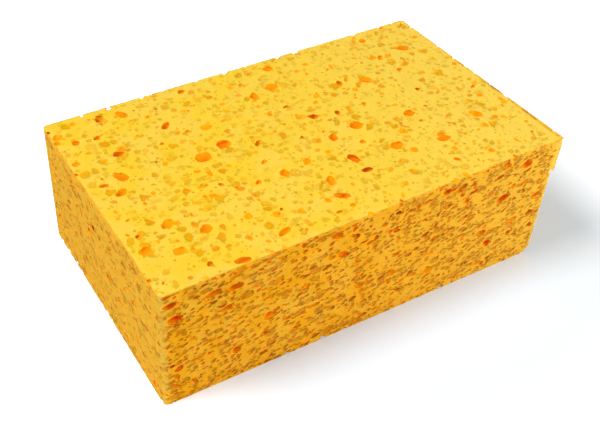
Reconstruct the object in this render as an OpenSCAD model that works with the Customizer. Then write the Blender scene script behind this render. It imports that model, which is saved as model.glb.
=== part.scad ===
// Cleaning sponge: a block of cut cellulose foam, full of pores that are wide and low.
// It lies on its large face, with its length along X and the origin under its middle.

/* [Block] */
// Length of the block, from the left-hand end to the tip of the torn lip
block_length = 150; // [110:1:190]
// Width of the block, front to back
block_width = 90; // [65:1:120]
// Thickness at the left-hand end
left_thickness = 47; // [30:0.5:65]
// Thickness at the right-hand end
right_thickness = 51.5; // [30:0.5:65]
// Radius of the upright corners, where the soft foam gave under the knife
corner_radius = 1.6; // [0.8:0.1:4]

/* [Torn end] */
// How far the torn lip stands proud at the front right-hand corner
lip_reach = 1.5; // [0.5:0.1:4]
// How far the lip runs down from the top
lip_height = 14; // [6:0.5:22]
// Size of the bottom edge torn away along the right-hand end
torn_edge = 2.5; // [1:0.1:6]

/* [Pores] */
// Width of the smallest pore
pore_width_min = 2.2; // [1.8:0.1:3]
// Width of the largest of the scattered pores
pore_width_max = 5.8; // [3.5:0.1:6.2]
// Height of a pore as a share of its width
pore_flatness = 0.5; // [0.35:0.05:0.7]
// Spacing of the scattered pores along and across the block
pore_spacing = 10.2; // [8:0.2:16]
// Spacing of the scattered pores up the sides
pore_rise = 7; // [5.4:0.2:10]
// How far a pore leans on average, rising towards the right-hand end
pore_lean = 12; // [0:1:20]
// How much the lean differs from pore to pore
lean_spread = 16; // [0:1:24]
// How strongly small pores outnumber wide ones
small_bias = 2.2; // [1:0.1:4]
// Least foam between a placed pore and the scattered ones
pore_wall = 0.6; // [0.4:0.1:2]
// Number that picks the pattern of the scattered pores
pore_seed = 7; // [1:1:99]

/* [Hidden] */

// The most open pores on the top: [share of the length, share of the width, pore width]
top_pores = [
    [-0.47, -0.29, 4.4], [-0.42, 0.09, 5.8], [-0.44, 0.01, 4.6], [-0.24, 0.05, 5.8],
    [-0.33, 0.43, 5.4], [-0.34, -0.29, 4.4], [-0.40, -0.21, 4.8], [0.15, -0.23, 5.2],
    [0.26, -0.28, 5.6], [-0.05, -0.37, 5.6], [-0.21, -0.43, 5.2], [-0.32, -0.49, 5.6],
];
// The most open pores on the front: [share of the length, share of the thickness, pore width]
front_pores = [
    [-0.48, 0.90, 5.6], [-0.47, 0.77, 5.8], [-0.39, 0.86, 5.8], [-0.34, 0.84, 5.6],
    [-0.15, 0.38, 4.6], [-0.27, 0.31, 5.0], [-0.36, 0.69, 5.0], [0.35, 0.66, 6.2],
    [0.31, 0.40, 5.0], [0.46, 0.56, 5.2], [0.40, 0.89, 5.0], [-0.19, 0.96, 4.4],
];
// How deep the middle of a pore lies under the face it opens on, as a share of its size
placed_depth = 0.1;
shallowest = -0.1;
deepest = 0.4;
// Random numbers that each scattered pore takes
draws = 5;
// What each pair of opposite faces adds to pore_seed
side_seed = 4;
end_seed = 8;

left_end = -block_length / 2;
right_end = block_length / 2 - lip_reach;
front = -block_width / 2;
back = block_width / 2;
slack = 10;
smooth = 64;

function thickness_at(x) =
    left_thickness + (right_thickness - left_thickness) * (x - left_end) / block_length;

// One pore in each cell of a grid over a face, moved about in its cell as far as its size lets it.
// tall is the pore's size up the grid as a share of its width.
// Each row is [place along, place up, width, depth as a share of the pore's size, lean].
function scatter(along, up, step_up, tall, seed) =
    let (columns = floor(along / pore_spacing), rows = floor(up / step_up),
         cell = [along / columns, up / rows],
         draw = rands(0, 1, draws * columns * rows, seed))
    [for (i = [0 : columns - 1], j = [0 : rows - 1])
        let (n = draws * (i + columns * j),
             width = pore_width_min + (pore_width_max - pore_width_min) * pow(draw[n], small_bias))
        [(i + 0.5) * cell.x + (draw[n + 1] - 0.5) * (cell.x - width),
         (j + 0.5) * cell.y + (draw[n + 2] - 0.5) * (cell.y - width * tall),
         width, shallowest + (deepest - shallowest) * draw[n + 3],
         pore_lean + (draw[n + 4] - 0.5) * lean_spread]];

// Every pore is [x, y, z, width, lean], for the middle of the pore
placed_pores = concat(
    [for (p = top_pores)
        let (x = p[0] * block_length)
        [x, p[1] * block_width, thickness_at(x) - placed_depth * p[2] * pore_flatness, p[2],
         pore_lean]],
    [for (p = front_pores)
        let (x = p[0] * block_length)
        [x, front + placed_depth * p[2], p[1] * thickness_at(x), p[2], pore_lean]]);

top_and_bottom = [for (top = [0, 1],
                       p = scatter(block_length, block_width, pore_spacing, 1, pore_seed + top))
    let (x = left_end + p[0], under = p[3] * p[2] * pore_flatness)
    [x, front + p[1], top == 1 ? thickness_at(x) - under : under, p[2], p[4]]];

front_and_back = [for (side = [-1, 1],
                       p = scatter(block_length, left_thickness, pore_rise, pore_flatness,
                                   pore_seed + side_seed + side))
    let (x = left_end + p[0])
    [x, side * (back - p[3] * p[2]), p[1] * thickness_at(x) / left_thickness, p[2], p[4]]];

both_ends = [for (end = [left_end, right_end],
                  p = scatter(block_width, thickness_at(end), pore_rise, pore_flatness,
                              pore_seed + end_seed + sign(end)))
    [end - sign(end) * p[3] * p[2], front + p[0], p[1], p[2], p[4]]];

function foam_between(a, b) = norm([a.x - b.x, a.y - b.y, a.z - b.z]) - (a[3] + b[3]) / 2;
function clear_of_placed(p) = min([for (q = placed_pores) foam_between(p, q)]) > pore_wall;

pores = concat(placed_pores,
    [for (p = concat(top_and_bottom, front_and_back, both_ends)) if (clear_of_placed(p)) p]);

// A pore is a lens: what two large balls, one above the other, have in common
module pore(width) {
    height = width * pore_flatness;
    ball = (width * width + height * height) / (4 * height);
    intersection() {
        translate([0, 0, ball - height / 2]) sphere(r = ball, $fn = smooth);
        translate([0, 0, height / 2 - ball]) sphere(r = ball, $fn = smooth);
    }
}

// What the rounding takes off a square corner
module corner_notch() {
    difference() {
        square(corner_radius);
        circle(r = corner_radius, $fn = smooth);
    }
}

// Outline from above, with the front right-hand corner drawn out by reach and left sharp
module outline(reach) {
    difference() {
        polygon([[left_end, front], [right_end + reach, front], [right_end, back], [left_end, back]]);
        for (corner = [[left_end, front, 180], [left_end, back, 90], [right_end, back, 0]])
            translate([corner.x - sign(corner.x) * corner_radius,
                       corner.y - sign(corner.y) * corner_radius])
                rotate(corner.z)
                    corner_notch();
    }
}

// Outline from the front: a flat base, a sloping top and the torn bottom edge on the right
module side_profile() {
    polygon([[left_end - slack, 0], [right_end - torn_edge, 0],
             [right_end + slack, torn_edge + slack],
             [right_end + slack, thickness_at(right_end + slack)],
             [left_end - slack, thickness_at(left_end - slack)]]);
}

module block() {
    tall = left_thickness + right_thickness;
    intersection() {
        union() {
            linear_extrude(tall) outline(0);
            translate([0, 0, right_thickness - lip_height])
                linear_extrude(tall) outline(lip_reach);
        }
        translate([0, block_width, 0])
            rotate([90, 0, 0])
                linear_extrude(2 * block_width) side_profile();
    }
}

module sponge() {
    color("gold")
        difference() {
            block();
            for (p = pores) translate([p.x, p.y, p.z]) rotate([0, -p[4], 0]) pore(p[3]);
        }
}

sponge();
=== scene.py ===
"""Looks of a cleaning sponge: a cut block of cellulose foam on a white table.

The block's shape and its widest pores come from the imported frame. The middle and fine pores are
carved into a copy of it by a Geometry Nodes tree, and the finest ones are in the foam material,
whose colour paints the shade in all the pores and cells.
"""

import math

import bmesh
import bpy
import numpy as np
from mathutils import Matrix, Vector


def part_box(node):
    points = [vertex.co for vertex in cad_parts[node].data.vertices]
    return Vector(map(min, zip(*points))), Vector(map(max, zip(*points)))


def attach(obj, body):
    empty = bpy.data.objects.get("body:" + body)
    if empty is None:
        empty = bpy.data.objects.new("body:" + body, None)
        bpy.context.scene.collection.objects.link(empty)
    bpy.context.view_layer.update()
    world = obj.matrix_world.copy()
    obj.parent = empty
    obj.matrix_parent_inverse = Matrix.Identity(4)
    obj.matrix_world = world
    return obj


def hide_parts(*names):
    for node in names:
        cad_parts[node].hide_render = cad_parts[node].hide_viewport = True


bl_info = {
    "name": "Cleaning Sponge",
    "version": (1, 0, 0),
    "blender": (4, 5, 0),
    "location": "View3D > Sidebar > Sponge",
    "description": "Carves a block of open-celled cellulose foam and sets it on a white table",
    "category": "Object",
}

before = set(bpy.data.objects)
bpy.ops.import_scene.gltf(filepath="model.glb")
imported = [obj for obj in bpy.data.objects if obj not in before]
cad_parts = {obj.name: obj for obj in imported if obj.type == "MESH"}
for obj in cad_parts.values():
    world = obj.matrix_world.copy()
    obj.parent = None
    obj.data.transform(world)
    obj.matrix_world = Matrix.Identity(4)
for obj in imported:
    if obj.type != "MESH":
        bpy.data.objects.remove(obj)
bpy.context.view_layer.update()
LOW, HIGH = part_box("sponge")
MM = 0.001

# Measuring and building the block
TINY = 0.002 * MM  # points nearer than this are one point
SLACK = 0.02 * MM  # how far a point may lie from the face that it belongs to
QUARTER = math.radians(90)
CORNER_STEPS = 6  # facets of a rounded corner
FEWEST_POINTS = 8  # a hollow with fewer points inside the block isn't a pore
SHARP_ANGLE = math.radians(55)  # walls that meet at more than this keep a sharp edge
FLAT = 0.998  # how squarely a cut face looks along its axis

# Carving the pores. A share is of the pore's size, and an angle is in radians.
CROWD = 2.0  # points tried for each square of the spacing
SMALL_BIAS = 1.8  # how strongly small pores outnumber wide ones
LEANING, LEVEL = 0.5, 0.9  # upward share of a normal, from where its face starts to count as level
RAISED = (-0.28, 0.1)  # how far the middle of a pore stands over the face, least and most
HEIGHTS = (0.75, 1.3)  # how tall a pore is against the usual, least and most
SIDE_LEAN = 0.2  # how far a pore leans towards the front or the back, at most
NIBBLED_ANGLE = math.radians(35)  # edges sharper than this are nibbled at
BALL_SHAPES = 6  # different balls of each roundness
JUST_UNDER = BALL_SHAPES - 0.001  # a number below this, rounded down, picks one of the shapes
# Inputs of the carving that its balls take
BALL_SIZES = ("Flatness", "Slimmest", "Unevenness", "Round Above", "Rounder Above")
BALL_NOISE = 1.8  # how finely the wall of a ball wanders
BALL_APART = 5.0  # how far apart in the noise two balls lie
MIDDLE_GREY = (0.5, 0.5, 0.5)
# What each kind of pore adds to the seed; those with a capital are also inputs' first words
SEEDS = {"wide": 10, "small": 20, "Middle": 100, "Fine": 200, "Pocket": 300}

# The foam's fine cells: their size, how many are open on the sides and on the top, the wall
# between them and how far their outlines wander
COARSE_CELLS = (3.8 * MM, 0.95, 0.8, 0.14, 0.6)
MIDDLING_CELLS = (2.2 * MM, 1.05, 0.85, 0.18, 0.4)
MIDDLING_SHARE = 0.75  # how strongly the middling cells show beside the coarse ones
SPECK_SIZE = 1.2 * MM
BEND_NOISE = 1.6  # how finely the cells' outlines are bent
CELL_EDGE = 0.24  # width of a cell's soft outline
WIDEST_CELL, WIDEST_SPECK = 0.54, 0.5  # reach of the most open ones, outline and all
OPENING_SPREAD = 0.7  # how much cells differ in how far they open
FAINTEST = 0.35  # how strongly the faintest cell shows
DEEP_PICK = (0.8, 0.92)  # cells whose random number lies above these are deep
DEEP_SHARE = 0.7  # how much of the painted shade of a pore's bottom a deep cell has
END_OPEN, END_MUTED = 0.75, 0.6  # how open and how strong the cells are on the two ends

# First on the sides, then on the top and the underside
CELL_FLATNESS, SPECK_FLATNESS = (0.55, 0.6), (0.45, 0.7)
SPECKS_OPEN = (0.85, 0.65)
RELIEF_STRENGTH, RELIEF_HEIGHT = (1.0, 0.65), (2.0 * MM, 1.0 * MM)

# The foam's colour, some of it painted light and shade. Each effect fades in or out between two
# values.
ROUGHNESS = (0.9, 0.7)  # of the cut foam and of an open cell
BLOTCH_NOISE, BLOTCH_RANGE, BLOTCH_PALE = 110.0, (0.35, 0.65), 0.6
END_PALE, EDGE_PALE, EDGE_UNCUT = 0.8, 0.6, 0.5
PAINTED_LIGHT_FROM, PAINTED_LIGHT_PALE = 0.2, 0.8  # share of the length from which painted light makes the foam paler towards the right-hand end
UNCUT_DEPTH = (0.05 * MM, 0.5 * MM)  # the fine cells fade out
WALL_SHADE_DEPTH = (0.02 * MM, 0.5 * MM)  # a cut face turns into the painted shade of a pore's wall
BOTTOM_SHADE_DEPTH = (0.6 * MM, 2.1 * MM)  # the wall's painted shade turns into the redder, darker painted shade of the bottom
EDGE_PALING = (0.2 * MM, 2.2 * MM)  # the paler edge fades out
FACE_BLEND = 0.5 * MM  # half the width over which one face's colour turns into the next

# The table, whose lift is light that only the camera sees. The lift is plain away from the block,
# and cooler in front of it, where the yellow side throws its colour on the table.
TABLE_COLOUR = (0.90, 0.90, 0.90, 1.0)
PLAIN_LIFT = (0.75, 0.75, 0.75, 1.0)
SHADOW_LIFT = (0.0, 0.055, 0.09, 1.0)
FRONT_LIFT = (0.0, 0.13, 0.235, 1.0)
SHADOW_MIDDLE = (0.035, -0.015, 0.0)
SHADOW_REACH = (0.07, 0.155)  # distances from that middle between which the lift turns plain
FRONT_UP_TO = (0.05, 0.10)  # values of X between which the front lift fades out
FRONT_FROM = (-0.06, -0.035)  # values of Y between which it fades out

# Lamps and camera
SOFT_LAMP_PLACE, SOFT_LAMP_SIZE = Vector((-0.60, 0.12, 0.92)), 0.40
FILL_LAMP_PLACE, FILL_LAMP_SIZE = Vector((0.34, -0.50, 0.30)), 0.30
LINE_OF_SIGHT = Vector((0.43272, 0.61813, -0.65625))
SENSOR_WIDTH = 36.0  # millimetres


# --- Sizes and colours -------------------------------------------------------------------------


def length_property(name, description, default):
    return bpy.props.FloatProperty(
        name=name, description=description, default=default, unit="LENGTH")


def colour_property(name, description, default):
    return bpy.props.FloatVectorProperty(
        name=name, description=description, default=default, size=3, min=0.0, max=1.0,
        subtype="COLOR")


class FoamSizes(bpy.types.PropertyGroup):
    """Sizes of the pores that are carved into the block."""

    middle_spacing: length_property(
        "Middle spacing", "Least distance between the middles of two middle pores", 5.3 * MM)
    middle_least: length_property("Middle least", "Width of the smallest middle pore", 1.6 * MM)
    middle_most: length_property("Middle most", "Width of the widest middle pore", 3.2 * MM)
    fine_spacing: length_property(
        "Fine spacing", "Least distance between the middles of two fine pores", 4.6 * MM)
    fine_least: length_property("Fine least", "Width of the smallest fine pore", 1.0 * MM)
    fine_most: length_property("Fine most", "Width of the widest fine pore", 1.8 * MM)
    pocket_spacing: length_property(
        "Pocket spacing", "Least distance between two pockets in the walls of the wide pores",
        3.2 * MM)
    nibble_spacing: length_property(
        "Nibble spacing", "Distance between the pores that nibble at the sharp edges", 4.2 * MM)
    nibble_stray: length_property(
        "Nibble stray", "How far those pores stray from the edge", 0.9 * MM)
    top_share: bpy.props.FloatProperty(
        name="Top share",
        description="How many of the pores open on the top, as a share of those on the sides",
        default=0.85, min=0.0, max=1.0, subtype="FACTOR")
    under_share: bpy.props.FloatProperty(
        name="Under share",
        description="How many of the pores open on the underside, as a share of those on the sides",
        default=0.15, min=0.0, max=1.0, subtype="FACTOR")
    flatness: bpy.props.FloatProperty(
        name="Flatness", description="Height of a pore as a share of its width", default=0.5,
        min=0.2, max=1.0, subtype="FACTOR")
    slimmest: bpy.props.FloatProperty(
        name="Slimmest", description="Least breadth of a pore as a share of its width",
        default=0.50, min=0.2, max=1.0, subtype="FACTOR")
    lean: bpy.props.FloatProperty(
        name="Lean",
        description="How far a pore leans on average, rising towards the right-hand end",
        default=math.radians(12), subtype="ANGLE")
    lean_spread: bpy.props.FloatProperty(
        name="Lean spread", description="How much the lean differs from pore to pore",
        default=math.radians(16), subtype="ANGLE")
    unevenness: bpy.props.FloatProperty(
        name="Unevenness",
        description="How far the wall of a pore wanders, as a share of its width", default=0.2,
        subtype="FACTOR")
    round_above: length_property(
        "Round above", "Width above which a pore is cut with a round ball", 2.5 * MM)
    rounder_above: length_property(
        "Rounder above", "Width above which a pore is cut with a very round ball", 4.2 * MM)
    corner_radius: length_property(
        "Corner radius", "Radius of the block's upright corners", 1.6 * MM)
    seed: bpy.props.IntProperty(
        name="Seed", description="Number that picks the pattern of the carved pores", default=5,
        min=0)


CARVE_SIZES = [name for name in FoamSizes.__annotations__ if name not in ("corner_radius", "seed")]


class FoamColours(bpy.types.PropertyGroup):
    """Colours of the foam, from its cut faces to the bottoms of its pores."""

    broad_face: colour_property(
        "Broad face", "Cut foam on the top and the underside", (0.98, 0.64, 0.034))
    # This colour also pales the foam near the edges.
    broad_pale: colour_property(
        "Broad face, pale", "Paler patches on the top and the underside, and worn edges",
        (0.99, 0.68, 0.095))
    # Painted shade: the middles of the fine cells are darker and redder, where shade falls in them.
    broad_hole: colour_property(
        "Broad face, cells", "Middles of the cells on the top and the underside",
        (0.92, 0.42, 0.001))
    # The side colours are redder and darker than the broad ones: partly the foam's own colour,
    # partly painted shade, as the sides get less light than the top.
    side_face: colour_property("Side face", "Cut foam on the four sides", (0.92, 0.41, 0.009))
    side_pale: colour_property(
        "Side face, pale", "Paler patches on the four sides", (0.93, 0.525, 0.048))
    # Painted shade in the cells of the sides, darker than on the top.
    side_hole: colour_property(
        "Side face, cells", "Middles of the cells on the four sides", (0.60, 0.10, 0.001))
    # Painted shade in the smallest cells.
    speck: colour_property("Speck", "Middles of the smallest cells", (0.74, 0.40, 0.004))
    # Painted shade in the pores: the foam turns redder and darker as a pore deepens, where light
    # dims and bounces off its yellow walls.
    pore_wall: colour_property("Pore wall", "Foam just inside a pore", (0.97, 0.47, 0.004))
    broad_bottom: colour_property(
        "Broad face, bottoms", "Foam at the bottom of a deep pore in the top or the underside",
        (0.97, 0.27, 0.004))
    side_bottom: colour_property(
        "Side face, bottoms", "Foam at the bottom of a deep pore in the four sides",
        (0.97, 0.13, 0.003))


class StageSizes(bpy.types.PropertyGroup):
    """The table, the lamps and the camera."""

    floor_radius: length_property("Floor radius", "Radius of the white table", 3.0)
    sky_strength: bpy.props.FloatProperty(
        name="Sky strength", description="Even light from all round", default=0.37)
    lamp_power: bpy.props.FloatProperty(
        name="Lamp power", description="Power of the soft lamp above and behind the left-hand end",
        default=6.4, unit="POWER")
    fill_power: bpy.props.FloatProperty(
        name="Fill power", description="Power of the small lamp in front of the right-hand end",
        default=2.0, unit="POWER")
    camera_place: bpy.props.FloatVectorProperty(
        name="Camera place", description="Where the camera stands",
        default=(-0.1442, -0.2071, 0.2283), size=3, subtype="TRANSLATION")
    camera_roll: bpy.props.FloatProperty(
        name="Camera roll", description="How far the camera leans about its line of sight",
        default=math.radians(4.78), subtype="ANGLE")
    camera_lens: bpy.props.FloatProperty(
        name="Camera lens", description="Focal length in millimetres, on a sensor 36 mm wide",
        default=55.16)


# --- Node helpers ------------------------------------------------------------------------------


class Board:
    """Short ways to add and join the nodes of one node tree."""

    def __init__(self, tree):
        self.tree = tree

    def node(self, kind, **settings):
        made = self.tree.nodes.new(kind)
        for name, value in settings.items():
            setattr(made, name, value)
        return made

    def join(self, source, target):
        """Feeds target, a socket, from source: another socket or a plain value."""
        if isinstance(source, bpy.types.NodeSocket):
            self.tree.links.new(source, target)
        else:
            target.default_value = source

    def feed(self, made, values):
        """Feeds a node's inputs from a dictionary by input name, and gives the node back."""
        for name, value in values.items():
            self.join(value, made.inputs[name])
        return made

    def fill(self, made, values):
        """Feeds a node's first inputs in their order, and gives the node back."""
        for value, target in zip(values, made.inputs):
            self.join(value, target)
        return made

    def math(self, operation, *values):
        return self.fill(self.node("ShaderNodeMath", operation=operation), values).outputs[0]

    def minus(self, one, other):
        return self.math("SUBTRACT", one, other)

    def product(self, *values):
        """All the values multiplied, two at a time from the left."""
        result = values[0]
        for value in values[1:]:
            result = self.math("MULTIPLY", result, value)
        return result

    def vector(self, operation, *values):
        made = self.fill(self.node("ShaderNodeVectorMath", operation=operation), values)
        return made.outputs["Value" if operation in ("LENGTH", "DOT_PRODUCT") else "Vector"]

    def scaled(self, vector, factor):
        made = self.node("ShaderNodeVectorMath", operation="SCALE")
        self.join(vector, made.inputs[0])
        self.join(factor, made.inputs["Scale"])
        return made.outputs[0]

    def packed(self, *values):
        """A vector from its three parts."""
        return self.fill(self.node("ShaderNodeCombineXYZ"), values).outputs[0]

    def parts(self, vector):
        """The X, Y and Z of a vector."""
        return self.fill(self.node("ShaderNodeSeparateXYZ"), [vector]).outputs

    def ramp(self, value, low, high, start=0.0, end=1.0):
        """value carried smoothly from low..high to start..end."""
        made = self.node("ShaderNodeMapRange", interpolation_type="SMOOTHSTEP")
        return self.fill(made, (value, low, high, start, end)).outputs["Result"]

    def mix(self, factor, one, other):
        made = self.node("ShaderNodeMix", data_type="RGBA")
        for source, index in ((factor, 0), (one, 6), (other, 7)):
            self.join(source, made.inputs[index])
        return made.outputs[2]


def new_group(kind, name, inputs, outputs):
    """A node group and its board. inputs and outputs give each socket's kind by its name."""
    tree = bpy.data.node_groups.new(name, kind + "NodeTree")
    for in_out, sockets in (("INPUT", inputs), ("OUTPUT", outputs)):
        for socket, data in sockets.items():
            tree.interface.new_socket(socket, in_out=in_out, socket_type="NodeSocket" + data)
    b = Board(tree)
    return tree, b, b.node("NodeGroupInput").outputs


def floats(*names):
    """Sockets that carry one number each."""
    return dict.fromkeys(names, "Float")


def board_of(made):
    """The emptied board of a new material or world."""
    made.use_nodes = True
    made.node_tree.nodes.clear()
    return Board(made.node_tree)


# --- Pores: Geometry Nodes ---------------------------------------------------------------------


def drawer(b, seed):
    """A function that adds one random value a point, between low and high, to the tree of b.

    Each draw of a tree has its own offset, so that no two of them give the same numbers.
    """
    def draw(low, high, offset):
        made = b.node("FunctionNodeRandomValue", data_type="FLOAT")
        b.join(low, made.inputs[2])
        b.join(high, made.inputs[3])
        b.join(b.math("ADD", seed, offset), made.inputs["Seed"])
        return made.outputs[1]
    return draw


def stored(b, geometry, name, value):
    """Keeps value on every point of geometry under a name."""
    made = b.node("GeometryNodeStoreNamedAttribute", data_type="FLOAT", domain="POINT")
    return b.feed(made, {"Geometry": geometry, "Name": name, "Value": value}).outputs[0]


def moved(b, geometry, offset):
    made = b.node("GeometryNodeSetPosition")
    return b.feed(made, {"Geometry": geometry, "Offset": offset}).outputs[0]


def pore_places_group():
    """Node group: places for pores, strewn over a surface, each with its width and lean.

    Pores lie as close up the sides as they are flat: the surface is drawn out upwards while the
    places are strewn, and pressed back afterwards.
    """
    tree, b, given = new_group(
        "Geometry", "Pore places",
        {"Surface": "Geometry", **floats(
            "Spacing", "Least Width", "Most Width", "Top Share", "Under Share", "Flatness",
            "Lean", "Lean Spread"), "Seed": "Int"},
        {"Places": "Geometry"})
    draw = drawer(b, given["Seed"])

    def upright_scale(geometry, factor):
        made = b.node("GeometryNodeTransform")
        return b.feed(made, {"Geometry": geometry, "Scale": b.packed(1.0, 1.0, factor)}).outputs[0]

    strewn = b.node("GeometryNodeDistributePointsOnFaces", distribute_method="POISSON")
    up = b.parts(b.node("GeometryNodeInputNormal").outputs[0])["Z"]
    b.feed(strewn, {
        "Mesh": upright_scale(given["Surface"], b.math("DIVIDE", 1.0, given["Flatness"])),
        "Distance Min": given["Spacing"],
        "Density Max": b.math("DIVIDE", CROWD, b.math("POWER", given["Spacing"], 2.0)),
        "Density Factor": b.product(b.ramp(up, LEANING, LEVEL, 1.0, given["Top Share"]),
                                    b.ramp(up, -LEVEL, -LEANING, given["Under Share"], 1.0)),
        "Seed": given["Seed"],
    })

    spread = b.minus(given["Most Width"], given["Least Width"])
    share = b.math("POWER", draw(0.0, 1.0, 11), SMALL_BIAS)
    width = b.math("ADD", given["Least Width"], b.product(share, spread))
    lean = b.math("ADD", given["Lean"], b.product(given["Lean Spread"], draw(-0.5, 0.5, 17)))
    places = stored(b, strewn.outputs["Points"], "width", width)
    places = stored(b, places, "lean", lean)
    facing = b.math("ABSOLUTE", b.parts(strewn.outputs["Normal"])["Z"])
    level = b.ramp(facing, LEANING, LEVEL, 1.0, given["Flatness"])
    raised = b.scaled(strewn.outputs["Normal"], b.product(width, level, draw(*RAISED, 23)))
    b.join(moved(b, upright_scale(places, given["Flatness"]), raised),
           b.node("NodeGroupOutput").inputs[0])
    return tree


def edge_places_group():
    """Node group: places for the small pores that nibble at the sharp edges of a surface."""
    tree, b, given = new_group(
        "Geometry", "Edge places",
        {"Surface": "Geometry", **floats("Spacing", "Least Width", "Most Width", "Stray", "Lean"),
         "Seed": "Int"},
        {"Places": "Geometry"})
    draw = drawer(b, given["Seed"])
    bend = b.node("GeometryNodeInputMeshEdgeAngle").outputs["Unsigned Angle"]
    edges = b.feed(b.node("GeometryNodeMeshToCurve"), {
        "Mesh": given["Surface"], "Selection": b.math("GREATER_THAN", bend, NIBBLED_ANGLE)})
    along = b.feed(b.node("GeometryNodeCurveToPoints", mode="LENGTH"),
                   {"Curve": edges.outputs[0], "Length": given["Spacing"]})
    stray = b.packed(*(b.product(given["Stray"], draw(-1.0, 1.0, n)) for n in (51, 53, 57)))
    places = moved(b, along.outputs["Points"], stray)
    places = stored(b, places, "width", draw(given["Least Width"], given["Most Width"], 59))
    places = stored(b, places, "lean", given["Lean"])
    b.join(places, b.node("NodeGroupOutput").inputs[0])
    return tree


def uneven_ball(b, roundness, number, unevenness):
    """Adds to the tree of b one of the uneven balls, one unit wide, that pores are cut with."""
    ball = b.feed(b.node("GeometryNodeMeshIcoSphere"), {"Radius": 0.5, "Subdivisions": roundness})
    place = b.node("GeometryNodeInputPosition").outputs[0]
    wander = b.feed(b.node("ShaderNodeTexNoise"), {
        "Vector": b.vector("ADD", place, (BALL_APART * number + roundness, 0.0, 0.0)),
        "Scale": BALL_NOISE, "Detail": 1.0})
    bend = b.vector("SUBTRACT", wander.outputs["Color"], MIDDLE_GREY)
    return moved(b, ball.outputs["Mesh"], b.scaled(bend, b.product(unevenness, 2.0)))


def pore_balls_group():
    """Node group: a flattened, uneven ball at each place, as round as its width calls for."""
    tree, b, given = new_group(
        "Geometry", "Pore balls",
        {"Places": "Geometry", **floats(*BALL_SIZES), "Seed": "Int"}, {"Balls": "Geometry"})
    draw = drawer(b, given["Seed"])

    def kept(name):
        made = b.node("GeometryNodeInputNamedAttribute", data_type="FLOAT")
        return b.feed(made, {"Name": name}).outputs["Attribute"]

    width = kept("width")
    shape = b.packed(1.0, draw(given["Slimmest"], 1.0, 31),
                     b.product(given["Flatness"], draw(*HEIGHTS, 37)))
    turned = b.feed(b.node("FunctionNodeRotateRotation", rotation_space="GLOBAL"), {
        "Rotation": b.packed(0.0, 0.0, draw(0.0, math.tau, 41)),
        "Rotate By": b.packed(draw(-SIDE_LEAN, SIDE_LEAN, 43), b.product(kept("lean"), -1.0), 0.0)})

    kinds = b.node("GeometryNodeGeometryToInstance")
    for roundness in (3, 2, 1):  # the ball joined last is the first to pick from
        for number in range(BALL_SHAPES):
            b.join(uneven_ball(b, roundness, number, given["Unevenness"]), kinds.inputs[0])
    size = b.math("ADD", b.math("GREATER_THAN", width, given["Round Above"]),
                  b.math("GREATER_THAN", width, given["Rounder Above"]))
    pick = b.math("ADD", b.product(size, BALL_SHAPES), b.math("FLOOR", draw(0.0, JUST_UNDER, 47)))
    placed = b.feed(b.node("GeometryNodeInstanceOnPoints"), {
        "Points": given["Places"], "Instance": kinds.outputs[0], "Pick Instance": True,
        "Instance Index": pick, "Rotation": turned.outputs[0], "Scale": b.scaled(shape, width)})
    b.join(placed.outputs[0], b.node("NodeGroupOutput").inputs[0])
    return tree


def spelled(name):
    """The name of the input that carries a size, such as "Middle Spacing" for middle_spacing."""
    return name.replace("_", " ").title()


def carve_tree():
    """Node group: the plain block with its wide, middle and fine pores cut out of it."""
    tree, b, given = new_group(
        "Geometry", "Carve pores",
        {"Block": "Geometry", "Wide Pores": "Object", **floats(*map(spelled, CARVE_SIZES)),
         "Seed": "Int", "Foam": "Material"},
        {"Sponge": "Geometry"})
    places_group, balls_group = pore_places_group(), pore_balls_group()

    def seeded(group, kind, names, values):
        """A node of a group that takes the named inputs as given and the others from values."""
        made = b.feed(b.node("GeometryNodeGroup", node_tree=group), values)
        b.feed(made, {name: given[name] for name in names})
        return b.feed(made, {"Seed": b.math("ADD", given["Seed"], SEEDS[kind])}).outputs[0]

    def balls(places, kind):
        return seeded(balls_group, kind, BALL_SIZES, {"Places": places})

    def places(surface, kind, width):
        return seeded(
            places_group, kind, ("Top Share", "Under Share", "Flatness", "Lean", "Lean Spread"),
            {"Surface": surface, "Spacing": given[kind + " Spacing"],
             "Least Width": given[width + " Least"], "Most Width": given[width + " Most"]})

    measured = b.feed(b.node("GeometryNodeObjectInfo"), {"Object": given["Wide Pores"]})
    wide_places = b.feed(b.node("GeometryNodeMeshToPoints"), {"Mesh": measured.outputs["Geometry"]})
    wide = balls(wide_places.outputs[0], "wide")
    walls = b.node("GeometryNodeRealizeInstances")
    b.join(wide, walls.inputs[0])
    block = given["Block"]
    small_places = b.node("GeometryNodeJoinGeometry")
    for strewn in (places(block, "Middle", "Middle"), places(block, "Fine", "Fine"),
                   places(walls.outputs[0], "Pocket", "Fine")):
        b.join(strewn, small_places.inputs[0])
    nibbles = b.feed(b.node("GeometryNodeGroup", node_tree=edge_places_group()), {
        "Surface": block, "Spacing": given["Nibble Spacing"],
        "Least Width": given["Fine Least"], "Most Width": given["Middle Most"],
        "Stray": given["Nibble Stray"], "Lean": given["Lean"], "Seed": given["Seed"]})
    b.join(nibbles.outputs[0], small_places.inputs[0])
    cutters = b.node("GeometryNodeJoinGeometry")
    b.join(wide, cutters.inputs[0])
    b.join(balls(small_places.outputs[0], "small"), cutters.inputs[0])

    cut = b.feed(b.node("GeometryNodeMeshBoolean", operation="DIFFERENCE", solver="MANIFOLD"),
                 {"Mesh 1": block, "Mesh 2": cutters.outputs[0]})
    real = b.node("GeometryNodeRealizeInstances")
    b.join(cut.outputs["Mesh"], real.inputs[0])
    finish = b.feed(b.node("GeometryNodeSetMaterial"),
                    {"Geometry": real.outputs[0], "Material": given["Foam"]})
    b.join(finish.outputs[0], b.node("NodeGroupOutput").inputs[0])
    return tree


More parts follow.
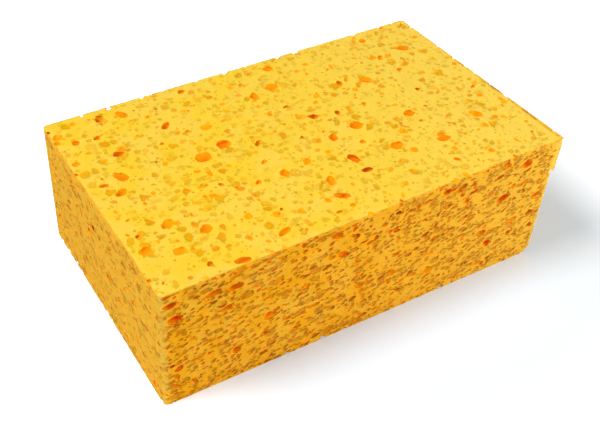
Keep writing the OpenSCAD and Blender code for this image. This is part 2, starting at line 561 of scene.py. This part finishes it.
def set_inputs(modifier, values):
    """Sets a Geometry Nodes modifier's inputs, given by their names."""
    names = {s.name: s.identifier for s in modifier.node_group.interface.items_tree
             if s.item_type == "SOCKET" and s.in_out == "INPUT"}
    for name, value in values.items():
        modifier[names[name]] = value


# --- Foam material -----------------------------------------------------------------------------


def flat_vector(b, vector, flatness):
    """vector drawn out upwards, so that what is round in it comes out as flat as flatness says."""
    return b.vector("MULTIPLY", vector, b.packed(1.0, 1.0, b.math("DIVIDE", 1.0, flatness)))


def soft_dot(b, cell, open_share, widest):
    """A mask that is 1 in the middle of a cell and 0 outside its round opening.

    Gives the mask, how strongly the cell shows and the cell's random numbers.
    """
    pick = b.parts(cell["Color"])
    shut = b.minus(1.0, open_share)
    reach = b.ramp(pick["X"], shut, b.math("ADD", shut, OPENING_SPREAD), 0.0, widest)
    dot = b.ramp(b.minus(cell["Distance"], reach), -CELL_EDGE, 0.0, 1.0, 0.0)
    return dot, b.ramp(pick["Y"], 0.0, 1.0, FAINTEST, 1.0), pick


def fine_cells_group():
    """Shader node group: cells too fine to carve, flat and leaning like the pores.

    Hole is 0 between the cells and rises in their middles, up to 1 in the most open ones. Deep is
    the same for the few that reach far into the foam. The foam's colour paints shade where they
    rise.
    """
    tree, b, given = new_group(
        "Shader", "Fine cells",
        floats("Cell Size", "Flatness", "Lean", "Open Share", "Wall", "Wander"),
        floats("Hole", "Deep"))
    leaning = b.feed(b.node("ShaderNodeVectorRotate", rotation_type="Y_AXIS"), {
        "Vector": b.node("ShaderNodeTexCoord").outputs["Object"], "Angle": given["Lean"]})
    place = b.scaled(flat_vector(b, leaning.outputs[0], given["Flatness"]),
                     b.math("DIVIDE", 1.0, given["Cell Size"]))
    bend = b.feed(b.node("ShaderNodeTexNoise"),
                  {"Vector": place, "Scale": BEND_NOISE, "Detail": 0.0})
    bent = b.scaled(b.vector("SUBTRACT", bend.outputs["Color"], MIDDLE_GREY), given["Wander"])
    place = b.vector("ADD", place, bent)

    def cells(feature):
        made = b.node("ShaderNodeTexVoronoi", feature=feature)
        return b.feed(made, {"Vector": place, "Scale": 1.0}).outputs

    dot, strength, pick = soft_dot(b, cells("F1"), given["Open Share"], WIDEST_CELL)
    apart = b.ramp(cells("DISTANCE_TO_EDGE")["Distance"], 0.0, given["Wall"])
    hole = b.product(dot, apart, strength)
    b.feed(b.node("NodeGroupOutput"), {
        "Hole": hole, "Deep": b.product(hole, b.ramp(pick["Z"], *DEEP_PICK))})
    return tree


def specks_group():
    """Shader node group: the smallest cells, as soft round dots."""
    tree, b, given = new_group(
        "Shader", "Specks", floats("Size", "Flatness", "Open Share"), floats("Dot"))
    place = b.node("ShaderNodeTexCoord").outputs["Object"]
    cell = b.feed(b.node("ShaderNodeTexVoronoi"), {
        "Vector": flat_vector(b, place, given["Flatness"]),
        "Scale": b.math("DIVIDE", 1.0, given["Size"])})
    dot, strength, _ = soft_dot(b, cell.outputs, given["Open Share"], WIDEST_SPECK)
    b.feed(b.node("NodeGroupOutput"), {"Dot": b.product(dot, strength)})
    return tree


def block_place_group():
    """Shader node group: where a point of the block lies.

    Edge is its distance from the nearest edge of the top or from the nearest upright edge. Broad
    is 1 on the top and the underside, and End is 1 on the two ends. Along rises from 0 at the
    left-hand end to 1 at the right-hand one.
    """
    tree, b, given = new_group(
        "Shader", "Place on block", floats("Left", "Right", "Front", "Back", "Left Top", "Rise"),
        floats("Edge", "Broad", "End", "Along"))
    x, y, z = b.parts(b.node("ShaderNodeTexCoord").outputs["Object"])
    from_left = b.minus(x, given["Left"])
    end = b.math("MINIMUM", from_left, b.minus(given["Right"], x))
    side = b.math("MINIMUM", b.minus(y, given["Front"]), b.minus(given["Back"], y))
    top = b.minus(b.math("ADD", given["Left Top"], b.product(given["Rise"], from_left)), z)
    upright = b.math("MINIMUM", end, side)
    level = b.math("MINIMUM", top, z)
    broad = b.ramp(b.minus(upright, level), -FACE_BLEND, FACE_BLEND)
    not_broad = b.minus(1.0, broad)
    other = b.minus(b.math("MAXIMUM", end, side), upright)
    on_end = b.ramp(b.minus(side, end), -FACE_BLEND, FACE_BLEND)
    b.feed(b.node("NodeGroupOutput"), {
        "Edge": b.math("ADD", upright, b.product(other, not_broad)),
        "Broad": broad,
        "End": b.product(on_end, not_broad),
        "Along": b.math("DIVIDE", from_left, b.minus(given["Right"], given["Left"])),
    })
    return tree


class FoamCells:
    """The masks of the foam's fine cells, added to the material of board b."""

    def __init__(self, b, broad, on_end, lean):
        self.b, self.broad, self.on_end, self.lean = b, broad, on_end, lean
        self.group = fine_cells_group()
        coarse, middling = self.layer(*COARSE_CELLS), self.layer(*MIDDLING_CELLS)
        self.hole = b.math("MAXIMUM", coarse["Hole"], b.product(middling["Hole"], MIDDLING_SHARE))
        self.deep = b.math("MAXIMUM", coarse["Deep"], middling["Deep"])
        specks = b.feed(b.node("ShaderNodeGroup", node_tree=specks_group()), {
            "Size": SPECK_SIZE, "Flatness": self.by_face(*SPECK_FLATNESS),
            "Open Share": self.by_face(*SPECKS_OPEN)})
        self.speck = specks.outputs["Dot"]

    def by_face(self, on_sides, on_top):
        """One value on the sides and another on the top and the underside."""
        return self.b.ramp(self.broad, 0.0, 1.0, on_sides, on_top)

    def layer(self, size, open_on_sides, open_on_top, wall, wander):
        """One size of cells, from a line such as COARSE_CELLS."""
        b = self.b
        fewer_on_ends = b.ramp(self.on_end, 0.0, 1.0, 1.0, END_OPEN)
        made = b.feed(b.node("ShaderNodeGroup", node_tree=self.group), {
            "Cell Size": size, "Flatness": self.by_face(*CELL_FLATNESS), "Lean": self.lean,
            "Open Share": b.product(self.by_face(open_on_sides, open_on_top), fewer_on_ends),
            "Wall": wall, "Wander": wander})
        return made.outputs


def cut_face_colour(b, rgba, broad, on_end, along, near_edge):
    """Colour of the cut foam between its pores.

    It is blotched, paler on both ends and pale at the edges. Painted light makes it paler towards
    the right-hand end, and painted shade makes its sides redder and darker in part.
    """
    patches = b.feed(b.node("ShaderNodeTexNoise"), {
        "Vector": b.node("ShaderNodeTexCoord").outputs["Object"],
        "Scale": BLOTCH_NOISE, "Detail": 3.0})
    blotch = b.ramp(patches.outputs["Fac"], *BLOTCH_RANGE)
    paling = b.math("MAXIMUM", b.product(blotch, BLOTCH_PALE), b.product(on_end, END_PALE))
    # Painted light: the foam grows paler towards the right-hand end, as if lit more brightly there.
    paling = b.math("MAXIMUM", paling, b.ramp(along, PAINTED_LIGHT_FROM, 1.0, 0.0, PAINTED_LIGHT_PALE))
    # Redder, darker sides: partly the foam's own colour, partly painted shade.
    face = b.mix(paling, b.mix(broad, rgba["side_face"], rgba["broad_face"]),
                 b.mix(broad, rgba["side_pale"], rgba["broad_pale"]))
    return b.mix(b.product(near_edge, EDGE_PALE), face, rgba["broad_pale"])


def foam_material(colours, sizes, shape):
    """Yellow cellulose foam: cut faces full of fine cells and pores, with painted shade that
    reddens as the pores deepen.
    """
    made = bpy.data.materials.new("Cellulose foam")
    b = board_of(made)
    rgba = {name: (*getattr(colours, name), 1.0) for name in colours.__annotations__}
    depth = b.node("ShaderNodeAttribute", attribute_name="depth").outputs["Fac"]
    on_block = b.feed(b.node("ShaderNodeGroup", node_tree=block_place_group()), {
        "Left": shape.left, "Right": shape.right, "Front": shape.front, "Back": shape.back,
        "Left Top": shape.left_top, "Rise": shape.rise}).outputs
    broad, on_end = on_block["Broad"], on_block["End"]
    near_edge = b.ramp(on_block["Edge"], *EDGE_PALING, 1.0, 0.0)

    cells = FoamCells(b, broad, on_end, sizes.lean)
    uncut = b.product(b.ramp(depth, *UNCUT_DEPTH, 1.0, 0.0),
                      b.minus(1.0, b.product(near_edge, EDGE_UNCUT)))
    opened = b.product(cells.hole, uncut)
    muted = b.ramp(on_end, 0.0, 1.0, 1.0, END_MUTED)
    # Painted shade at the bottoms of deep pores and cells, redder on the sides.
    bottom = b.mix(broad, rgba["side_bottom"], rgba["broad_bottom"])
    colour = cut_face_colour(b, rgba, broad, on_end, on_block["Along"], near_edge)
    # Painted shade: darker specks and cell middles, and deep cells and pores that turn redder as
    # they deepen.
    for share, other in (
            (b.product(cells.speck, uncut), rgba["speck"]),
            (b.product(opened, muted), b.mix(broad, rgba["side_hole"], rgba["broad_hole"])),
            (b.product(cells.deep, uncut, b.product(muted, DEEP_SHARE)), bottom),
            (b.ramp(depth, *WALL_SHADE_DEPTH), rgba["pore_wall"]),
            (b.ramp(depth, *BOTTOM_SHADE_DEPTH), bottom)):
        colour = b.mix(share, colour, other)

    bump = b.feed(b.node("ShaderNodeBump"), {
        "Strength": b.product(cells.by_face(*RELIEF_STRENGTH), uncut),
        "Distance": cells.by_face(*RELIEF_HEIGHT),
        "Height": b.minus(1.0, cells.hole)})
    skin = b.feed(b.node("ShaderNodeBsdfPrincipled", subsurface_method="BURLEY"), {
        "Base Color": colour, "Roughness": b.ramp(opened, 0.0, 1.0, *ROUGHNESS),
        "Specular IOR Level": 0.02, "Subsurface Weight": 0.6,
        "Subsurface Radius": (1.0, 0.35, 0.05), "Subsurface Scale": 1.4 * MM,
        "Normal": bump.outputs[0]})
    b.join(skin.outputs[0], b.node("ShaderNodeOutputMaterial").inputs["Surface"])
    return made


# --- The block ---------------------------------------------------------------------------------


def face_place(values, side):
    """Where the outermost face lies on one side, 1 or -1, from the values that nearly reach it."""
    far = values.max() if side > 0 else values.min()
    return float(np.median(values[abs(values - far) < SLACK]))


class BlockShape:
    """The plain block under the pores, measured from the frame's solid.

    foot is where the underside ends at the torn bottom edge, lip is the height at which the torn
    lip starts, and tip is how far it reaches.
    """

    def __init__(self, mesh, corner):
        at = np.array([v.co for v in mesh.vertices])
        x, y, z = at.T
        self.corner = corner
        below_lip = z < 3 * corner
        self.left, self.tip = face_place(x, -1), face_place(x, 1)
        self.front, self.back = face_place(y, -1), face_place(y, 1)
        self.right = face_place(x[below_lip], 1)
        self.foot = face_place(x[z < SLACK], 1)
        self.lip = face_place(z[x > (self.right + self.tip) / 2], -1)
        self.right_top = face_place(z, 1)
        self.left_top = face_place(z[x < self.left + SLACK], 1)
        self.rise = (self.right_top - self.left_top) / (self.tip - self.left)

    def top(self, x):
        return self.left_top + self.rise * (x - self.left)

    def right_side(self, y, z):
        """How far right the block reaches: the torn lip stands out at the front of that end."""
        share = (self.back - self.corner - y) / (self.back - self.corner - self.front)
        return self.right + np.where(z > self.lip, (self.tip - self.right) * share, 0.0)

    def gaps(self, at):
        """How deep points lie under the left, right, front, back, bottom and top faces."""
        x, y, z = at.T
        return np.array([x - self.left, self.right_side(y, z) - x, y - self.front, self.back - y,
                         z, self.top(x) - z])

    def depths(self, at):
        """How deep points lie under the upright faces and corners, and under the broad faces."""
        left, right, front, back, bottom, top = self.gaps(at)
        near_end = self.corner - np.minimum(left, right)
        near_side = self.corner - np.minimum(front, back)
        sharp = (right < left) & (front < back)
        round_off = np.hypot(np.maximum(near_end, 0), np.maximum(near_side, 0))
        rounded = self.corner - round_off - np.minimum(np.maximum(near_end, near_side), 0)
        upright = np.where(sharp, np.minimum(right, front), rounded)
        torn = (right + bottom - (self.right - self.foot)) / math.sqrt(2)
        return np.where(right < left, np.minimum(upright, torn), upright), np.minimum(top, bottom)


def corner_arc(middle, radius, start):
    """Points round a quarter of a circle, anticlockwise from the angle start."""
    turns = [start + QUARTER * step / CORNER_STEPS for step in range(CORNER_STEPS + 1)]
    return [middle + Vector((math.cos(turn), math.sin(turn))) * radius for turn in turns]


def plain_block(shape):
    """The block before its pores are cut, with three round corners and the torn lip."""
    r = shape.corner
    left, right, front, back = shape.left + r, shape.right - r, shape.front + r, shape.back - r
    ring = [Vector((shape.right, shape.front))]
    for turn, corner in enumerate(((right, back), (left, back), (left, front))):
        ring += corner_arc(Vector(corner), r, turn * QUARTER)
    tip = Vector((shape.tip, shape.front))
    work = bmesh.new()
    low = [work.verts.new((*p, 0.0)) for p in ring]
    middle = [work.verts.new((*p, shape.lip)) for p in ring]
    upper = [work.verts.new((*tip, shape.lip))] + middle[1:]
    high = [work.verts.new((*p, shape.top(p.x))) for p in [tip] + ring[1:]]
    count = len(ring)
    for i in range(count):
        j = (i + 1) % count
        work.faces.new((low[i], low[j], middle[j], middle[i]))
        below = (upper[i], upper[j]) if j else (upper[i], middle[0], upper[0])
        work.faces.new((*below, high[j], high[i]))
    work.faces.new(reversed(low))
    work.faces.new(high)
    work.faces.new((middle[0], middle[1], upper[0]))
    tear_bottom_edge(work, shape)
    mesh = bpy.data.meshes.new("foam_block")
    work.to_mesh(mesh)
    work.free()
    return mesh


def tear_bottom_edge(work, shape):
    """Takes the bottom edge of the right-hand end off at 45 degrees and closes the cut."""
    cut = bmesh.ops.bisect_plane(
        work, geom=work.verts[:] + work.edges[:] + work.faces[:], dist=TINY, clear_outer=True,
        plane_co=(shape.foot, 0.0, 0.0), plane_no=(1.0, 0.0, -1.0))
    rim = [e for e in cut["geom_cut"] if isinstance(e, bmesh.types.BMEdge)]
    bmesh.ops.edgenet_fill(work, edges=rim)
    bmesh.ops.recalc_face_normals(work, faces=work.faces)


def pore_islands(work, inside):
    """Groups of joined vertices that lie inside the solid, each with its rim, by vertex number."""
    met = [not kept for kept in inside]
    for start in work.verts:
        if met[start.index]:
            continue
        met[start.index] = True
        island, rim = [start], set()
        for vert in island:
            for link in vert.link_edges:
                other = link.other_vert(vert)
                if not inside[other.index]:
                    rim.add(other.index)
                elif not met[other.index]:
                    met[other.index] = True
                    island.append(other)
        yield [vert.index for vert in island], sorted(rim)


def measured_pore(body, face, flatness):
    """Middle, width and lean of the pore with the points of body, which opens on a face.

    face counts the faces as BlockShape.gaps does. What the face has cut off the pore is made up
    for from the pore's width, and the slope of its points gives its lean.
    """
    low, high = body.min(axis=0), body.max(axis=0)
    axis, far = face // 2, face % 2
    width = max(size for a, size in enumerate(high - low) if a != axis and a < 2)
    half = width / 2 * (flatness if axis == 2 else 1.0)
    middle = (low + high) / 2
    middle[axis] = low[axis] + half if far else high[axis] - half
    run, rise = body[:, 0] - body[:, 0].mean(), body[:, 2] - body[:, 2].mean()
    slope = (run * rise).sum() / (run * run).sum()
    return (*middle, width, math.atan(slope / (1 - flatness * flatness)) if axis else 0.0)


def measured_pores(solid, shape, flatness):
    """Middle, width and lean of each pore in the frame's solid."""
    work = bmesh.new()
    work.from_mesh(solid)
    bmesh.ops.remove_doubles(work, verts=work.verts, dist=TINY)
    work.verts.index_update()
    at = np.array([v.co for v in work.verts])
    gaps = shape.gaps(at)
    inside = (np.minimum(*shape.depths(at)) > SLACK).tolist()
    pores = []
    for island, rim in pore_islands(work, inside):
        if len(island) < FEWEST_POINTS or not rim:
            continue
        on_face = (gaps[:, rim] < SLACK).sum(axis=1)
        pores.append(measured_pore(at[island + rim], int(on_face.argmax()), flatness))
    work.free()
    return np.array(pores)


def point_values(mesh, name, values):
    """Stores one value for each point of a mesh under a name."""
    made = mesh.attributes.new(name, "FLOAT", "POINT")
    made.data.foreach_set("value", values.astype(np.float32))


def linked(name, data):
    """A new object in the scene."""
    made = bpy.data.objects.new(name, data)
    bpy.context.scene.collection.objects.link(made)
    return made


def pore_marks(pores):
    """An object with a point for each measured pore, which holds its width and lean."""
    mesh = bpy.data.meshes.new("wide_pores")
    mesh.from_pydata(pores[:, :3].tolist(), [], [])
    point_values(mesh, "width", pores[:, 3])
    point_values(mesh, "lean", pores[:, 4])
    return linked("wide_pores", mesh)


def keep_largest(mesh):
    """Removes the crumbs that carving has cut loose from the block."""
    work = bmesh.new()
    work.from_mesh(mesh)
    left = set(work.verts)
    islands = []
    while left:
        island = {left.pop()}
        edge = list(island)
        while edge:
            for link in edge.pop().link_edges:
                for vert in link.verts:
                    if vert in left:
                        left.remove(vert)
                        island.add(vert)
                        edge.append(vert)
        islands.append(island)
    islands.sort(key=len)
    crumbs = [v for island in islands[:-1] for v in island]
    bmesh.ops.delete(work, geom=crumbs, context="VERTS")
    work.to_mesh(mesh)
    work.free()


def paint_depth(mesh, shape):
    """Stores how deep each point lies under the nearest face of the plain block."""
    at = np.array([v.co for v in mesh.vertices])
    depth = np.maximum(np.minimum(*shape.depths(at)), 0.0)
    point_values(mesh, "depth", depth)
    return depth


def shade(mesh, depth):
    """Smooth walls in the pores and round the corners, flat cut faces between them."""
    mesh.polygons.foreach_set("use_smooth", [True] * len(mesh.polygons))
    mesh.set_sharp_from_angle(angle=SHARP_ANGLE)
    uncut = (depth < TINY).tolist()
    for polygon in mesh.polygons:
        if all(uncut[v] for v in polygon.vertices):
            x, y, z = polygon.normal
            polygon.use_smooth = max(abs(x), abs(y), abs(z), abs(x - z) / math.sqrt(2)) <= FLAT


class SPONGE_OT_foam_block(bpy.types.Operator):
    """Carve the pores out of a plain block measured from the frame, and give it its foam."""

    bl_idname = "sponge.foam_block"
    bl_label = "Foam block"

    def execute(self, context):
        sizes = context.scene.sponge_sizes
        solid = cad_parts["sponge"].data
        shape = BlockShape(solid, sizes.corner_radius)
        block = linked("foam_block", plain_block(shape))
        marks = pore_marks(measured_pores(solid, shape, sizes.flatness))
        carve = block.modifiers.new("Carve", "NODES")
        carve.node_group = carve_tree()
        set_inputs(carve, {spelled(name): getattr(sizes, name) for name in (*CARVE_SIZES, "seed")})
        foam = foam_material(context.scene.sponge_colours, sizes, shape)
        set_inputs(carve, {"Wide Pores": marks, "Foam": foam})
        depsgraph = context.evaluated_depsgraph_get()
        mesh = bpy.data.meshes.new_from_object(block.evaluated_get(depsgraph), depsgraph=depsgraph)
        if not mesh.polygons:
            raise RuntimeError("The pores could not be cut out of the block")
        block.modifiers.clear()
        block.data = mesh
        bpy.data.objects.remove(marks)
        keep_largest(mesh)
        shade(mesh, paint_depth(mesh, shape))
        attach(block, "root")
        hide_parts("sponge")
        return {"FINISHED"}


# --- Stage -------------------------------------------------------------------------------------


def floor_material():
    """A white table, lifted to plain white away from the block, where no shadow falls."""
    made = bpy.data.materials.new("White table")
    b = board_of(made)
    matt = b.feed(b.node("ShaderNodeBsdfDiffuse"), {"Color": TABLE_COLOUR})
    place = b.node("ShaderNodeTexCoord").outputs["Object"]
    away = b.vector("LENGTH", b.vector("SUBTRACT", place, SHADOW_MIDDLE))
    x, y, _ = b.parts(place)
    in_front = b.product(b.ramp(x, *FRONT_UP_TO, 1.0, 0.0), b.ramp(y, *FRONT_FROM, 1.0, 0.0))
    near = b.mix(in_front, SHADOW_LIFT, FRONT_LIFT)
    lift = b.feed(b.node("ShaderNodeEmission"), {
        "Color": b.mix(b.ramp(away, *SHADOW_REACH), near, PLAIN_LIFT),
        "Strength": b.node("ShaderNodeLightPath").outputs["Is Camera Ray"]})
    both = b.fill(b.node("ShaderNodeAddShader"), (matt.outputs[0], lift.outputs[0]))
    b.join(both.outputs[0], b.node("ShaderNodeOutputMaterial").inputs["Surface"])
    return made


def white_world(strength):
    """Even light on the object, and plain white where the camera sees past the table."""
    world = bpy.data.worlds.new("White room")
    b = board_of(world)
    seen = b.node("ShaderNodeLightPath").outputs["Is Camera Ray"]
    sky = b.feed(b.node("ShaderNodeBackground"), {
        "Color": (1.0, 1.0, 1.0, 1.0), "Strength": b.math("MAXIMUM", seen, strength)})
    b.join(sky.outputs[0], b.node("ShaderNodeOutputWorld").inputs["Surface"])
    return world


def area_lamp(name, place, aim, size, power):
    """A round lamp of a size, in metres across, that shines from place to aim."""
    data = bpy.data.lights.new(name, "AREA")
    data.shape = "DISK"
    data.size = size
    data.energy = power
    lamp = linked(name, data)
    lamp.location = place
    lamp.rotation_euler = (aim - place).to_track_quat("-Z", "Y").to_euler()


def rolled_camera(place, aim, roll, lens):
    """The scene's camera, at place and looking at aim, leaning by roll."""
    data = bpy.data.cameras.new("Camera")
    data.lens = lens
    data.sensor_width = SENSOR_WIDTH
    data.clip_start = 10 * MM
    camera = linked("Camera", data)
    turn = (aim - place).to_track_quat("-Z", "Y").to_matrix().to_4x4()
    camera.matrix_world = Matrix.Translation(place) @ turn @ Matrix.Rotation(roll, 4, "Z")
    bpy.context.scene.camera = camera


def round_table(radius):
    """A flat round table top, level with the block's underside."""
    work = bmesh.new()
    bmesh.ops.create_circle(work, cap_ends=True, segments=96, radius=radius)
    mesh = bpy.data.meshes.new("table")
    work.to_mesh(mesh)
    work.free()
    mesh.materials.append(floor_material())
    return linked("table", mesh)


class SPONGE_OT_stage(bpy.types.Operator):
    """Set the block on a white table under soft light, and place the camera."""

    bl_idname = "sponge.stage"
    bl_label = "Stage"

    def execute(self, context):
        stage = context.scene.sponge_stage
        round_table(stage.floor_radius)
        context.scene.world = white_world(stage.sky_strength)
        front_right_foot = Vector((HIGH[0], LOW[1], 0.0))
        area_lamp("Soft lamp", SOFT_LAMP_PLACE, (LOW + HIGH) / 2, SOFT_LAMP_SIZE, stage.lamp_power)
        area_lamp("Fill lamp", FILL_LAMP_PLACE, front_right_foot, FILL_LAMP_SIZE, stage.fill_power)
        place = Vector(stage.camera_place)
        rolled_camera(place, place + LINE_OF_SIGHT, stage.camera_roll, stage.camera_lens)
        context.scene.view_settings.view_transform = "Standard"
        return {"FINISHED"}


class SPONGE_PT_panel(bpy.types.Panel):
    """The steps that make the sponge."""

    bl_label = "Sponge"
    bl_space_type = "VIEW_3D"
    bl_region_type = "UI"
    bl_category = "Sponge"

    def draw(self, context):
        for step in STEPS:
            self.layout.operator(step.bl_idname)
        scene = context.scene
        for group in (scene.sponge_sizes, scene.sponge_colours, scene.sponge_stage):
            box = self.layout.box()
            for name in group.__annotations__:
                box.prop(group, name)


STEPS = (SPONGE_OT_foam_block, SPONGE_OT_stage)
CLASSES = (FoamSizes, FoamColours, StageSizes, *STEPS, SPONGE_PT_panel)


def register():
    for cls in CLASSES:
        bpy.utils.register_class(cls)
    bpy.types.Scene.sponge_sizes = bpy.props.PointerProperty(type=FoamSizes)
    bpy.types.Scene.sponge_colours = bpy.props.PointerProperty(type=FoamColours)
    bpy.types.Scene.sponge_stage = bpy.props.PointerProperty(type=StageSizes)


def unregister():
    del bpy.types.Scene.sponge_stage
    del bpy.types.Scene.sponge_colours
    del bpy.types.Scene.sponge_sizes
    for cls in reversed(CLASSES):
        bpy.utils.unregister_class(cls)


def main():
    register()
    bpy.ops.sponge.foam_block()
    bpy.ops.sponge.stage()
    bpy.context.view_layer.update()


if __name__ == "__main__":
    main()
